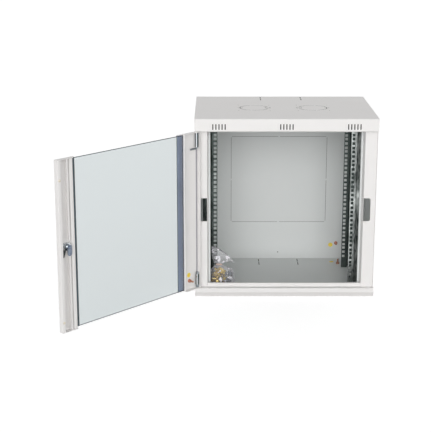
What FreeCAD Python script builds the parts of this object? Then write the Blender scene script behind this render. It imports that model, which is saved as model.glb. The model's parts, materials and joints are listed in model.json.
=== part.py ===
import FreeCAD, Part
import math
import os

# Wall mount network cabinet, 12 rack units, glass door hinged on the left and standing open.
# Millimetres. X to the right, Y from the front to the back, Z up; the origin is the centre of the underside.
V = FreeCAD.Vector

# Cabinet
width = 600.0
depth = 450.0
height = 610.0
sheet = 1.2                 # folded covers, posts, panels and door pans
bend = 1.0                  # inside radius of a fold
panel_gap = 0.2             # between a panel and the piece it is welded into
top_band = 42.0             # height of the top cover's front and sides
low_band = 34.0             # height of the bottom cover's front and sides
nose = 20.5                 # how far both covers stand out ahead of the front frame
toe_rise = 19.5             # sloped toe of the bottom cover: its rise and run
toe_run = 15.0
top_edge_radius = 3.0
header = 5.0                # flange below the top band, behind the door
sill = 11.5                 # flange above the bottom band, behind the door
hem = 9.0                   # flanges folded back from header and sill

# Front posts
post_face = 40.0
post_step_depth = 23.5
post_step_slant = 4.8
post_lip = 5.6
post_hem = 8.0
post_return = 30.0
latch_slot_height = 79.0
latch_slot_width = 23.6
latch_slot_radius = 7.0
latch_margin = 6.0          # length of post each side of the slot that is its own solid

# Back panel
back_return = 20.0
wall_hole_radius = 5.0
wall_hole_inset = 15.0      # from the side of the cabinet
wall_hole_low = 110.0
wall_hole_spacing = 390.0
back_cut_side = 126.0       # outline cut round the removable middle: from the sides, bottom and top
back_cut_low = 143.0
back_cut_drop = 146.0
back_cut_line = 1.4
cover_cut_line = 3.0
cut_bridge = 6.0
drain_hole_radius = 2.5
drain_hole_height = 26.0

# Cover knock-outs and vents
vent_count = 5
vent_pitch = 10.0
vent_width = 3.5
vent_height = 19.0
vent_drop = 17.0            # top of the vents below the top of the cover
vent_group_inset = 80.0     # middle of the outer groups from the side
fan_inset = 200.0
fan_depth = 212.0           # fan centre behind the front
fan_ring_radius = 48.0
fan_bridge_offset = 10.0    # ring's bridges from its middle, away from the cabinet's
fan_ear_radius = 10.0       # small loop on the ring's inner side
fan_ear_gap = 15.0          # half of the ring left uncut beside the loop
fan_pry_radius = 2.6        # two holes on the ring's outer side
fan_pry_reach = (41.0, 54.0)
fan_screw_radius = 2.2
fan_screw_reach = 52.5      # 105 mm apart, as on a 120 mm fan
cable_cut_width = 143.0
cable_cut_length = 77.0
cable_cut_edge = 6.0        # web left between the cable cut and the back edge

# Brace behind the vents
brace_gap = 0.2             # to header, posts and roof
brace_flange = 14.0

# 19 inch rails
unit = 44.45
rack_units = 12
rail_gauge = 2.0
rail_inset = 75.0           # rail's inner edge from the side: 450 mm clear between the rails
rail_hole_edge = 7.55       # hole column from that edge: columns 465.1 mm apart
rail_hole = 9.5
rail_face = 22.0
rail_web = 18.0
rail_wing = 27.5
rail_foot = 22.0
rail_clearance = 0.3        # rail ends to floor and roof
front_rail_depth = 117.0
rear_rail_depth = 335.0
bar_gauge = 1.5
bar_height = 40.0
bar_offset = 38.0           # from underside and from top to the bar's near edge
bar_slot = 50.0

# Fasteners
rail_bolt_radius = 3.0
bolt_clearance = 0.4
bolt_head_flats = 10.0
bolt_head_height = 4.0
nut_height = 5.0
washer_radius = 6.5
washer_height = 1.2
earth_stud_radius = 3.0
earth_stud_length = 18.0
label_radius = 8.0
label_thickness = 0.3
back_stud = (84.0, 61.0)            # from the side, from the underside
back_label = (104.0, 54.0)
floor_stud = (82.0, 69.0)           # from the side, from the back
floor_label = (103.0, 45.0)
door_stud = (33.0, 30.0)            # along the door, from its bottom
door_label = (35.0, 50.0)

# Door, measured along it from the hinge axis and inwards from its outer face
door_open = 133.0
door_gap = 1.0              # above and below
door_side_gap = 0.8
door_inset = 0.5
door_thickness = 17.0
barrel_radius = 5.5
pan_hinge_width = 62.0
bead_width = 6.0
bead_height = 11.0
hinge_flange = 26.5         # behind the glass
lock_flange = 13.4
lock_pan_width = 61.5       # behind the glass strip and out to the door's edge
glass_thickness = 4.0
glass_gap = 0.6             # glass edge to the steel beside it
glass_drop = 3.0            # glass edge below the ends of the pans
glass_arris = 0.6           # ground edges
tape_thickness = 1.0
strip_width = 12.0
strip_height = 13.0
groove = 5.0                # between glass strip and the pan's inner lip
inner_lip = 7.0
inner_wall = 13.0
return_lip = 11.0
buffer_radius = 4.0
buffer_gap = 0.4
buffer_inset = 5.5
buffer_low = 33.0           # from the door's bottom
buffer_drop = 61.0          # from the door's top

# Hinges
pin_radius = 3.0
pin_clearance = 0.06
upper_barrel = 48.0
upper_barrel_drop = 3.0     # barrel top below the door's top
barrel_end = 4.0
spring_chamber_radius = 4.7
spring_wire = 0.9
spring_turns = 7
spring_sides = 8            # the wire is drawn with flats, which mesh cleanly along the helix
spring_clearance = 0.35
collar_height = 2.5
pin_travel = 9.0            # draws the upper pin's tip just below the door's top
pin_reach = 6.0             # of the lower pin below the ledge it turns in
lever_length = 28.0
lever_drop = 4.5
lever_bend = 5.0
lower_barrel = 36.0
lower_bush = 10.3
lower_bush_radius = 5.2
lower_head_height = 7.0
lower_head_radius = 5.0
thrust_washer_radius = 7.0
thrust_gap = 0.1

# Lock
lock_inset = 30.7           # from the door's free edge
lock_rose_radius = 13.0
lock_rose_height = 2.5
lock_barrel_radius = 8.5
lock_barrel_length = 18.5
lock_sleeve_radius = 10.0
lock_nut_flats = 22.0
lock_nut_height = 4.5
lock_hole_clearance = 0.2
lock_notch = 16.0
plug_radius = 6.0
plug_end = 22.6
keyway_width = 1.6
keyway_length = 8.0
keyway_depth = 12.0
cam_thickness = 2.0
cam_radius = 8.0
cam_length = 27.0
cam_screw_radius = 4.5
cam_screw_height = 3.2
key_ring_radius = 12.5
key_ring_wire = 0.8
key_ring_depth = 8.0
key_angle = 40.0            # where the key hangs on its ring, from straight down
key_lean = 18.0
key_bow_width = 12.0
key_bow_length = 27.0
key_bow_thickness = 2.6
key_hole_radius = 2.6
key_hole_edge = 0.6
key_blade_width = 5.5
key_blade_length = 18.0
key_blade_thickness = 1.6

# Bag of screws and cage nuts
bag_clearance = 0.3
bag_sections = (            # height, centre from the side, depth, width, thickness
    (0.0, 94.0, 78.0, 84.0, 48.0),
    (28.0, 93.0, 78.0, 92.0, 58.0),
    (76.0, 88.0, 79.0, 66.0, 42.0),
    (98.0, 90.0, 80.0, 54.0, 18.0),
    (152.0, 92.0, 80.0, 70.0, 8.0),
)

# Worked out from the sizes above
front = -depth / 2
back = depth / 2
side = width / 2
frame_y = front + nose                       # face of posts, header and sill
post_x = side - sheet - panel_gap            # outside of posts and back panel
back_face = back - 2 * sheet                 # inside of the back panel
inside_low = sheet + bend                    # clear of the covers' folds
inside_high = height - sheet - bend
rail_inner = side - rail_inset
rail_outer = rail_inner + rail_face + rail_wing
unit_base = (height - rack_units * unit) / 2
door_low = low_band + door_gap
door_high = height - top_band - door_gap
door_front = front + door_inset
barrel_depth = sheet + barrel_radius
hinge_x = -side + door_side_gap + barrel_depth
hinge_y = door_front + barrel_depth
door_end = width - 2 * door_side_gap - barrel_depth
strip_start = door_end - lock_pan_width
lip_start = strip_start + strip_width + groove
glass_start = pan_hinge_width + glass_gap
glass_end = strip_start - glass_gap
lock_along = door_end - lock_inset
lock_height = (door_low + door_high) / 2
glass_depth = sheet + tape_thickness


def box(x, y, z):
    """Block from three (low, high) pairs."""
    return Part.makeBox(x[1] - x[0], y[1] - y[0], z[1] - z[0], V(x[0], y[0], z[0]))


def rod(radius, start, end):
    return Part.makeCylinder(radius, (end - start).Length, start, end - start)


def tube(outer, inner, start, end):
    return rod(outer, start, end).cut(rod(inner, start, end))


def hex_prism(flats, start, end, bore=0.0):
    """Hexagon along start to end, two of its corners level with the ground where it lies flat."""
    axis = (end - start).normalize()
    spoke = axis.cross(V(0, 0, 1)) if abs(axis.z) < 0.9 else V(1, 0, 0)
    spoke = spoke.normalize() * (flats / math.sqrt(3))
    turn = [FreeCAD.Rotation(axis, 60 * i) for i in range(7)]
    outline = Part.makePolygon([start + t.multVec(spoke) for t in turn])
    prism = Part.Face(outline).extrude(end - start)
    return prism.cut(rod(bore, start, end)) if bore else prism


def slot(a, b, radius, through):
    """Round-ended cutter between the centres a and b, swept along through."""
    across = through.cross(b - a).normalize() * radius
    cap = (b - a).normalize() * radius
    edges = [
        Part.LineSegment(a + across, b + across).toShape(),
        Part.Arc(b + across, b + cap, b - across).toShape(),
        Part.LineSegment(b - across, a - across).toShape(),
        Part.Arc(a - across, a - cap, a + across).toShape(),
    ]
    return Part.Face(Part.Wire(edges)).extrude(through)


def rounded_path(points, radii):
    """Straight runs through points with an arc of the given radius at each inner one."""
    edges, last = [], points[0]
    for before, corner, after, radius in zip(points, points[1:], points[2:], radii):
        inward = (corner - before).normalize()
        outward = (after - corner).normalize()
        half = inward.getAngle(outward) / 2
        setback = radius * math.tan(half)
        start, end = corner - inward * setback, corner + outward * setback
        middle = corner + (outward - inward).normalize() * (radius / math.cos(half) - radius)
        edges += [Part.LineSegment(last, start).toShape(), Part.Arc(start, middle, end).toShape()]
        last = end
    return edges + [Part.LineSegment(last, points[-1]).toShape()]


def fold(points, gauge, length, along="Z", start=0.0, radii=None):
    """Sheet folded along points, one of its faces, with its gauge to the left of the path.

    The section lies across X, Y or Z and runs length from start: its two coordinates are
    (y, z) along X, (z, x) along Y and (x, y) along Z.
    """
    face = [V(a, b, start) for a, b in points]
    runs = [(q - p).normalize() for p, q in zip(face, face[1:])]
    left = [V(-r.y, r.x, 0) * gauge for r in runs]
    mitres = [(m + n) / (1 + m.dot(n) / gauge**2) for m, n in zip(left, left[1:])]
    offset = [left[0]] + mitres + [left[-1]]
    other = [p + o for p, o in zip(face, offset)]
    inside = radii or [bend] * len(mitres)
    turns = [a.cross(b).z for a, b in zip(runs, runs[1:])]
    near = [r + gauge if t > 0 else r for r, t in zip(inside, turns)]
    far = [r if t > 0 else r + gauge for r, t in zip(inside, turns)]
    edges = rounded_path(face, near) + rounded_path(other, far)
    edges += [Part.LineSegment(face[0], other[0]).toShape(), Part.LineSegment(face[-1], other[-1]).toShape()]
    solid = Part.Face(Part.Wire(Part.__sortEdges__(edges))).extrude(V(0, 0, length))
    turn = {"X": 120, "Y": 240, "Z": 0}[along]
    solid.Placement = FreeCAD.Placement(V(), FreeCAD.Rotation(V(1, 1, 1), turn))
    return solid


def mirrored(shape):
    return shape.mirror(V(), V(1, 0, 0))


def on_door(along, inward, z):
    """Point of the closed door, along it from the hinge axis and inwards from its outer face."""
    return V(hinge_x + along, door_front + inward, z)


def door_box(along, inward, z):
    return box((hinge_x + along[0], hinge_x + along[1]), (door_front + inward[0], door_front + inward[1]), z)


def door_fold(points, z, gauge=sheet):
    path = [(hinge_x + a, door_front + b) for a, b in points]
    return fold(path, gauge, z[1] - z[0], "Z", z[0])


# Covers


def bridged_line(a, b, line, through):
    """Cut line from a to b, broken by a bridge in its middle and clear of both ends."""
    middle = (a + b) / 2
    gap = (b - a).normalize() * (cut_bridge + line) / 2
    return [slot(a + gap, middle - gap, line / 2, through), slot(middle + gap, b - gap, line / 2, through)]


def cable_knockout(z):
    """Cut lines of the cable entry at the back edge, left uncut along the edge itself."""
    through = V(0, 0, 2 * sheet)
    half = cable_cut_width / 2
    rear = back - sheet - bend - cable_cut_edge
    corners = [V(-half, rear, z), V(-half, rear - cable_cut_length, z),
               V(half, rear - cable_cut_length, z), V(half, rear, z)]
    lines = []
    for a, b in zip(corners, corners[1:]):
        lines += bridged_line(a, b, cover_cut_line, through)
    return lines


def fan_knockout(z):
    """Left fan: broken ring, loop on its inner side, two pry holes on its outer side, four screw holes."""
    centre, rise = V(fan_inset - side, front + fan_depth, z), V(0, 0, 2 * sheet)
    half, reach = cover_cut_line / 2, 2 * fan_ring_radius
    ring = tube(fan_ring_radius + half, fan_ring_radius - half, centre, centre + rise)
    bridge = box((-cut_bridge / 2, cut_bridge / 2), (-reach, reach), (0, 2 * sheet))
    bridge.translate(centre - V(fan_bridge_offset, 0, 0))
    beside = box((0, reach), (-fan_ear_gap, fan_ear_gap), (0, 2 * sheet))
    beside.translate(centre)
    eye = centre + V(fan_ring_radius - half, 0, 0)
    loop = tube(fan_ear_radius + half, fan_ear_radius - half, eye, eye + rise)
    tab = box((-reach, reach), (-cut_bridge / 2, cut_bridge / 2), (0, 2 * sheet))
    tab.translate(centre)
    holes = [(-a, 0, fan_pry_radius) for a in fan_pry_reach]
    screw = fan_screw_reach
    holes += [(sx * screw, sy * screw, fan_screw_radius) for sx in (-1, 1) for sy in (-1, 1)]
    cuts = [ring.cut([bridge, beside]), loop.cut(tab)]
    return cuts + [rod(r, centre + V(a, b, 0), centre + V(a, b, 0) + rise) for a, b, r in holes]


def vents():
    """Upright slots in the top cover's front, in three groups."""
    radius = vent_width / 2
    high = height - vent_drop - radius
    low = high - vent_height + vent_width
    cuts = []
    for group in (vent_group_inset - side, 0, side - vent_group_inset):
        for i in range(vent_count):
            x = group + (i - (vent_count - 1) / 2) * vent_pitch
            cuts.append(slot(V(x, front - sheet, low), V(x, front - sheet, high), radius, V(0, 3 * sheet, 0)))
    return cuts


def side_plate(points):
    """End plate of a cover from its outline in (y, z), on the right."""
    outline = Part.makePolygon([V(side - sheet, y, z) for y, z in points + points[:1]])
    return Part.Face(outline).extrude(V(sheet, 0, 0))


def hinge_hole(x, z):
    """Bearing hole for a hinge pin through a cover's flange that starts at z."""
    centre = V(x, hinge_y, z - sheet)
    return rod(pin_radius + pin_clearance, centre, centre + V(0, 0, 3 * sheet))


def post_notches(flange, ledge):
    """Clears header or sill, its hem and the corner of the ledge beside it, where the posts stand."""
    edge = post_x - post_face
    reach = frame_y + hem + sheet
    hem_edge = edge - post_step_slant * (hem + sheet) / post_step_depth
    right = [box((edge - 2 * panel_gap, side), (frame_y - bend, frame_y + sheet), flange),
             box((hem_edge, side), (frame_y + sheet, reach), flange),
             box((edge, side), (frame_y, reach), ledge)]
    return right + [mirrored(cut) for cut in right]


def on_floor(place):
    return V(side - place[0], back - place[1], sheet)


def on_back(place):
    return V(side - place[0], back_face, place[1])


def make_top_cover():
    band = height - top_band
    path = [(back, band), (back, height), (front, height), (front, band),
            (frame_y, band), (frame_y, band - header), (frame_y + hem, band - header)]
    radii = [bend, top_edge_radius] + [bend] * 3
    cover = fold(path, sheet, width, "X", -side, radii)
    end = side_plate([(front + sheet, height - sheet), (back - sheet, height - sheet),
                      (back - sheet, band), (frame_y, band), (front + sheet, band)])
    cover = cover.fuse([end, mirrored(end)]).removeSplitter()
    top = height - 1.5 * sheet
    fan = fan_knockout(top)
    cuts = vents() + cable_knockout(top) + fan + [mirrored(cut) for cut in fan]
    cuts += [hinge_hole(hinge_x, band), hinge_hole(-hinge_x, band)]
    cuts += post_notches((band - header - sheet, band), (band, band + 2 * sheet))
    return cover.cut(cuts)


def make_bottom_cover():
    top = low_band + sill
    path = [(frame_y + hem, top), (frame_y, top), (frame_y, low_band), (front, low_band), (front, toe_rise),
            (front + toe_run, 0), (back, 0), (back, low_band)]
    cover = fold(path, sheet, width, "X", -side)
    end = side_plate([(frame_y, low_band), (front + sheet, low_band), (front + sheet, toe_rise),
                      (front + toe_run + sheet, sheet), (back - sheet, sheet), (back - sheet, low_band)])
    cover = cover.fuse([end, mirrored(end)]).removeSplitter()
    cuts = cable_knockout(-sheet / 2)
    cuts += post_notches((low_band, top + sheet), (low_band - 2 * sheet, low_band))
    cuts += [hinge_hole(hinge_x, low_band - sheet), hinge_hole(-hinge_x, low_band - sheet)]
    stud = on_floor(floor_stud)
    cuts.append(rod(earth_stud_radius, stud - V(0, 0, 2 * sheet), stud + V(0, 0, sheet)))
    return cover.cut(cuts)


# Panels and posts


def make_back_panel():
    outer = back - sheet
    path = [(post_x, outer - back_return), (post_x, outer), (-post_x, outer), (-post_x, outer - back_return)]
    panel = fold(path, sheet, inside_high - inside_low, "Z", inside_low)
    through = V(0, 3 * sheet, 0)
    y = outer - 2 * sheet
    half, high = side - back_cut_side, height - back_cut_drop
    corners = [V(-half, y, back_cut_low), V(half, y, back_cut_low), V(half, y, high),
               V(-half, y, high), V(-half, y, back_cut_low)]
    cuts = []
    for a, b in zip(corners, corners[1:]):
        cuts += bridged_line(a, b, back_cut_line, through)
    holes = [(sx * (side - wall_hole_inset), wall_hole_low + i * wall_hole_spacing, wall_hole_radius)
             for sx in (-1, 1) for i in (0, 1)]
    holes.append((0, drain_hole_height, drain_hole_radius))
    holes.append((side - back_stud[0], back_stud[1], earth_stud_radius))
    return panel.cut(cuts + [rod(r, V(x, y, z), V(x, y, z) + through) for x, z, r in holes])


def make_side_panel():
    """Right side, between the bands of the two covers."""
    z = (low_band + panel_gap, height - top_band - panel_gap)
    return box((side - sheet, side), (frame_y, back), z)


def make_header_brace():
    """Strip that closes the top band behind the vents: web just behind the header, flange under the roof."""
    web = frame_y + hem + brace_gap
    high = height - sheet - brace_gap
    path = [(web, height - top_band - header), (web, high), (web + brace_flange, high)]
    slant = post_step_slant * (hem + brace_flange) / post_step_depth
    half = post_x - post_face - slant - brace_gap
    return fold([(y, z) for y, z in reversed(path)], sheet, 2 * half, "X", -half)


def make_post():
    """Right front post: face, slanted step and lip of the opening, and a return along the side.

    Its three solids meet just above and just below the latch slot.
    """
    inner = post_x - post_face
    step_y = frame_y + post_step_depth
    lip_x = inner - post_step_slant
    path = [(lip_x - post_lip, step_y + post_hem), (lip_x - post_lip, step_y), (lip_x, step_y),
            (inner, frame_y), (post_x, frame_y), (post_x, frame_y + post_return)]
    post = fold(path, sheet, inside_high - inside_low, "Z", inside_low)
    radius = latch_slot_radius
    low = lock_height - latch_slot_height / 2
    high = low + latch_slot_height
    cut = box((inner, inner + latch_slot_width), (frame_y - sheet, frame_y + 2 * sheet), (low, high))
    along = [e for e in cut.Edges if abs(e.BoundBox.YLength - 3 * sheet) < 0.01]
    corner = [e for e in along if e.BoundBox.XMin > inner + 1]
    post = post.cut(cut.makeFillet(radius, corner))
    ends = [inside_low, low - latch_margin, high + latch_margin, inside_high]
    return Part.makeCompound([post.common(box((0, side), (front, back), z)) for z in zip(ends, ends[1:])])


# Rails and the bars that carry them


def rail_bolt_heights():
    return [bar_offset + bar_height / 2, height - bar_offset - bar_height / 2]


def rail_bolt_depth(rail_depth):
    return front + rail_depth + rail_web + (rail_gauge + rail_foot) / 2


def make_rail(rail_depth):
    """Right rail: drilled face, web, wing and the foot flange that bolts to the bars."""
    x, y = rail_inner, front + rail_depth
    path = [(x, y), (x + rail_face, y), (x + rail_face, y + rail_web), (rail_outer, y + rail_web),
            (rail_outer, y + rail_web + rail_foot)]
    low = sheet + rail_clearance
    rail = fold(path, rail_gauge, height - 2 * low, "Z", low)
    half = rail_hole / 2
    column = rail_inner + rail_hole_edge
    holes = []
    for i in range(rack_units):
        for rise in (6.35, 22.225, 38.1):      # standard hole heights within one unit
            z = unit_base + i * unit + rise
            holes.append(box((column - half, column + half), (y - rail_gauge, y + 2 * rail_gauge),
                             (z - half, z + half)))
    for z in rail_bolt_heights():
        start = V(rail_outer - 2 * rail_gauge, rail_bolt_depth(rail_depth), z)
        holes.append(rod(rail_bolt_radius + bolt_clearance, start, start + V(3 * rail_gauge, 0, 0)))
    return rail.cut(holes)


def make_depth_bar(z):
    """Right channel from the front post to the back panel, slotted where the rails bolt on."""
    outer = post_x - sheet
    path = [(z, outer), (z, rail_outer), (z + bar_height, rail_outer), (z + bar_height, outer)]
    start = frame_y + sheet + bend
    bar = fold(path, bar_gauge, back_face - bend - start, "Y", start)
    cuts = []
    for rail_depth in (front_rail_depth, rear_rail_depth):
        centre = V(rail_outer - bar_gauge, rail_bolt_depth(rail_depth), z + bar_height / 2)
        reach = V(0, bar_slot / 2 - rail_bolt_radius, 0)
        radius = rail_bolt_radius + bolt_clearance
        cuts.append(slot(centre - reach, centre + reach, radius, V(3 * bar_gauge, 0, 0)))
    return bar.cut(cuts)


def rail_bolt_sets():
    """All eight bolts and all eight nuts, each as one group of solids."""
    bolts, nuts = [], []
    for rail_depth in (front_rail_depth, rear_rail_depth):
        for z in rail_bolt_heights():
            y = rail_bolt_depth(rail_depth)
            head = rail_outer - rail_gauge
            grip = rail_outer + bar_gauge
            shank = rod(rail_bolt_radius, V(head, y, z), V(grip + nut_height + 1, y, z))
            cap = hex_prism(bolt_head_flats, V(head - bolt_head_height, y, z), V(head, y, z))
            nut = hex_prism(bolt_head_flats, V(grip, y, z), V(grip + nut_height, y, z), rail_bolt_radius)
            bolts += [shank.fuse(cap), mirrored(shank.fuse(cap))]
            nuts += [nut, mirrored(nut)]
    return Part.makeCompound(bolts), Part.makeCompound(nuts)


# Earth points


def earth_point(foot, axis, gauge):
    """Stud through a sheet whose inner face is at foot, with its washer and nut."""
    stud = rod(earth_stud_radius, foot - axis * gauge, foot + axis * earth_stud_length)
    seat = foot + axis * washer_height
    washer = tube(washer_radius, earth_stud_radius, foot, seat)
    nut = hex_prism(bolt_head_flats, seat, seat + axis * nut_height, earth_stud_radius)
    return stud, washer, nut


def label(foot, axis):
    return rod(label_radius, foot, foot + axis * label_thickness)


# Door


def pan_ends(along):
    """Top and bottom walls of a pan."""
    depth_range = (sheet, door_thickness)
    return [door_box(along, depth_range, (door_low, door_low + sheet)),
            door_box(along, depth_range, (door_high - sheet, door_high))]


def make_hinge_pan():
    """Steel tray on the hinge side: skin, end wall, bead beside the glass and a flange behind it."""
    tall = (door_low, door_high)
    inner = (door_low + sheet, door_high - sheet)
    flange_end = glass_start + hinge_flange
    skin = door_fold([(-barrel_depth, door_thickness), (-barrel_depth, 0), (flange_end, 0)], tall)
    bead_start = pan_hinge_width - bead_width
    bead = door_fold([(pan_hinge_width, sheet), (pan_hinge_width, bead_height),
                      (bead_start, bead_height), (bead_start, sheet)], inner)
    pan = skin.fuse([bead] + pan_ends((sheet - barrel_depth, pan_hinge_width))).removeSplitter()
    holes = []
    for z in (door_low, door_high - sheet):
        start = on_door(0, barrel_depth, z - sheet)
        holes.append(rod(pin_radius + pin_clearance, start, start + V(0, 0, 3 * sheet)))
    stud = on_door(door_stud[0], -sheet, door_low + door_stud[1])
    return pan.cut(holes + [rod(earth_stud_radius, stud, stud + V(0, 3 * sheet, 0))])


def make_lock_pan():
    """Steel tray on the lock side: flange behind the glass, inner lip, skin, end wall and return lip."""
    tall = (door_low, door_high)
    inner = (door_low + sheet, door_high - sheet)
    skin = door_fold([(glass_end - lock_flange, 0), (door_end, 0), (door_end, door_thickness),
                      (door_end - return_lip, door_thickness)], tall)
    lip = door_fold([(lip_start + inner_lip, inner_wall), (lip_start, inner_wall), (lip_start, sheet)], inner)
    pan = skin.fuse([lip] + pan_ends((strip_start, door_end - sheet))).removeSplitter()
    notch = door_box((lip_start - groove, lip_start + inner_lip + sheet), (sheet, inner_wall + sheet),
                     (lock_height - lock_notch, lock_height + lock_notch))
    hole = rod(lock_barrel_radius + lock_hole_clearance, on_door(lock_along, -sheet, lock_height),
               on_door(lock_along, 2 * sheet, lock_height))
    return pan.cut([notch, hole])


def make_glass_strip():
    """Steel channel that covers the edge of the glass on the lock side."""
    start, end = strip_start, strip_start + strip_width
    z = (door_low + sheet, door_high - sheet)
    return door_fold([(end, sheet), (end, strip_height), (start, strip_height), (start, sheet)], z)


def make_glass():
    """Safety glass with ground edges."""
    z = (door_low + glass_drop, door_high - glass_drop)
    pane = door_box((glass_start, glass_end), (glass_depth, glass_depth + glass_thickness), z)
    return pane.makeChamfer(glass_arris, pane.Edges)


def make_buffers():
    top = frame_y - buffer_gap - door_front
    pads = []
    for z in (door_low + buffer_low, door_high - buffer_drop):
        pad = rod(buffer_radius, on_door(door_end - buffer_inset, door_thickness, z),
                  on_door(door_end - buffer_inset, top, z))
        pads.append(pad.makeFillet(1.0, [e for e in pad.Edges if e.BoundBox.YMin > door_front + top - 0.01]))
    return Part.makeCompound(pads)


# Hinges


def upper_hinge():
    """Barrel, spring pin with its lever, and the spring between pin collar and barrel."""
    high = door_high - upper_barrel_drop
    low = high - upper_barrel
    bore = pin_radius + pin_clearance
    barrel = tube(barrel_radius, bore, on_door(0, barrel_depth, low), on_door(0, barrel_depth, high))
    chamber = (low + barrel_end, high - barrel_end)
    barrel = barrel.cut(rod(spring_chamber_radius, on_door(0, barrel_depth, chamber[0]),
                            on_door(0, barrel_depth, chamber[1])))
    tip = door_high + pin_travel - door_side_gap
    elbow = low - lever_drop
    route = [on_door(a, barrel_depth, z) for a, z in ((0, tip), (0, elbow), (lever_length, elbow))]
    circle = Part.Wire(Part.makeCircle(pin_radius, route[0], V(0, 0, -1)))
    pin = Part.Wire(rounded_path(route, [lever_bend])).makePipeShell([circle], True, True)
    collar_top = chamber[1] - spring_clearance
    collar_low = collar_top - collar_height
    collar = rod(spring_chamber_radius - spring_clearance, on_door(0, barrel_depth, collar_low),
                 on_door(0, barrel_depth, collar_top))
    base = chamber[0] + spring_wire / 2 + spring_clearance / 2
    rise = collar_low - spring_clearance / 2 - spring_wire / 2 - base
    coil = (pin_radius + spring_chamber_radius) / 2
    helix = Part.makeHelix(rise / spring_turns, rise, coil)
    flats = [2 * math.pi * i / spring_sides for i in range(spring_sides + 1)]
    wire_end = Part.makePolygon([V(coil + math.cos(a) * spring_wire / 2, 0, math.sin(a) * spring_wire / 2)
                                 for a in flats])
    spring = Part.Wire(helix).makePipeShell([wire_end], True, True)
    spring.translate(on_door(0, barrel_depth, base))
    return barrel, pin.fuse(collar), spring


def lower_hinge():
    """Barrel, bush, pin with its head, and the washer the door turns on."""
    bush_low = door_low + sheet
    barrel_low = bush_low + lower_bush
    barrel_high = barrel_low + lower_barrel
    heights = (bush_low, barrel_low, barrel_high, barrel_high + lower_head_height)
    place = [on_door(0, barrel_depth, z) for z in heights]
    bush = tube(lower_bush_radius, pin_radius, place[0], place[1])
    barrel = tube(barrel_radius, pin_radius, place[1], place[2])
    pin = rod(pin_radius, on_door(0, barrel_depth, low_band - sheet - pin_reach), place[2])
    pin = pin.fuse(rod(lower_head_radius, place[2], place[3]))
    washer = tube(thrust_washer_radius, pin_radius, on_door(0, barrel_depth, low_band + thrust_gap),
                  on_door(0, barrel_depth, door_low))
    return barrel, bush, pin, washer


# Lock and key


def at_lock(inward, rise=0.0, aside=0.0):
    return on_door(lock_along + aside, inward, lock_height + rise)


def make_lock():
    """Housing with its rose, spacer sleeve and nut."""
    housing = rod(lock_rose_radius, at_lock(-lock_rose_height), at_lock(0))
    housing = housing.makeFillet(1.2, [e for e in housing.Edges if e.BoundBox.YMax < door_front - 1])
    housing = housing.fuse(rod(lock_barrel_radius, at_lock(0), at_lock(lock_barrel_length)))
    bore = rod(plug_radius + pin_clearance, at_lock(-lock_rose_height), at_lock(lock_barrel_length))
    nut_start = lock_barrel_length - lock_nut_height - sheet / 2
    sleeve = tube(lock_sleeve_radius, lock_barrel_radius, at_lock(sheet), at_lock(nut_start))
    nut_end = nut_start + lock_nut_height
    nut = hex_prism(lock_nut_flats, at_lock(nut_start), at_lock(nut_end), lock_barrel_radius)
    return housing.cut(bore), sleeve, nut


def make_plug():
    """Turning plug with its keyway, and the stub that carries the cam."""
    plug = rod(plug_radius, at_lock(-lock_rose_height - 1), at_lock(plug_end))
    stub = rod(plug_radius / 2, at_lock(plug_end), at_lock(plug_end + cam_thickness))
    low, high = at_lock(-2 * lock_rose_height), at_lock(keyway_depth)
    half, reach = keyway_width / 2, keyway_length / 2
    keyway = box((low.x - half, low.x + half), (low.y, high.y), (low.z - reach, low.z + reach))
    return plug.fuse(stub).cut(keyway)


def make_cam():
    """Tongue that hooks behind the post: hub round the stub and a round end below it."""
    end = cam_length - cam_radius
    blade = slot(at_lock(plug_end), at_lock(plug_end, -end), cam_radius, V(0, cam_thickness, 0))
    cam = blade.cut(rod(plug_radius / 2, at_lock(plug_end), at_lock(plug_end + cam_thickness)))
    return cam


def make_cam_screw():
    start = plug_end + cam_thickness
    head = rod(cam_screw_radius, at_lock(start), at_lock(start + cam_screw_height))
    return head.makeFillet(1.0, [e for e in head.Edges if e.BoundBox.YMin > door_front + start + 1])


def make_key_ring():
    """Ring that hangs on the lock's sleeve."""
    hang = key_ring_radius - key_ring_wire - lock_sleeve_radius
    return Part.makeTorus(key_ring_radius, key_ring_wire, at_lock(key_ring_depth, -hang), V(0, 1, 0))


def make_key():
    """Key hanging edge-on from the ring: plastic-clad bow above, blade below."""
    hang = key_ring_radius - key_ring_wire - lock_sleeve_radius
    angle = math.radians(key_angle)
    aside, drop = key_ring_radius * math.sin(angle), key_ring_radius * math.cos(angle)
    hole = at_lock(key_ring_depth, -hang - drop, aside)
    half = key_bow_thickness / 2
    radius = key_bow_width / 2
    top = hole + V(-half, 0, key_hole_radius + key_hole_edge - radius)
    low = top - V(0, 0, key_bow_length - key_bow_width)
    bow = slot(low, top, radius, V(key_bow_thickness, 0, 0))
    bow = bow.cut(rod(key_hole_radius, hole - V(2 * half, 0, 0), hole + V(2 * half, 0, 0)))
    tip = low.z - radius - key_blade_length
    blade_x = (hole.x - key_blade_thickness / 2, hole.x + key_blade_thickness / 2)
    blade_y = (hole.y - key_blade_width / 2, hole.y + key_blade_width / 2)
    blade = box(blade_x, blade_y, (tip, low.z - radius + 1))
    key = bow.fuse(blade)
    key.rotate(hole, V(0, 1, 0), -key_lean)
    return key


# Bag of mounting parts


def make_bag():
    rings = []
    for rise, x, y, wide, thick in bag_sections:
        centre = V(x - side, front + y, sheet + bag_clearance + rise)
        ring = Part.Ellipse(centre + V(wide / 2, 0, 0), centre + V(0, thick / 2, 0), centre)
        rings.append(Part.Wire(ring.toShape()))
    return Part.makeLoft(rings, True, False)


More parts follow.
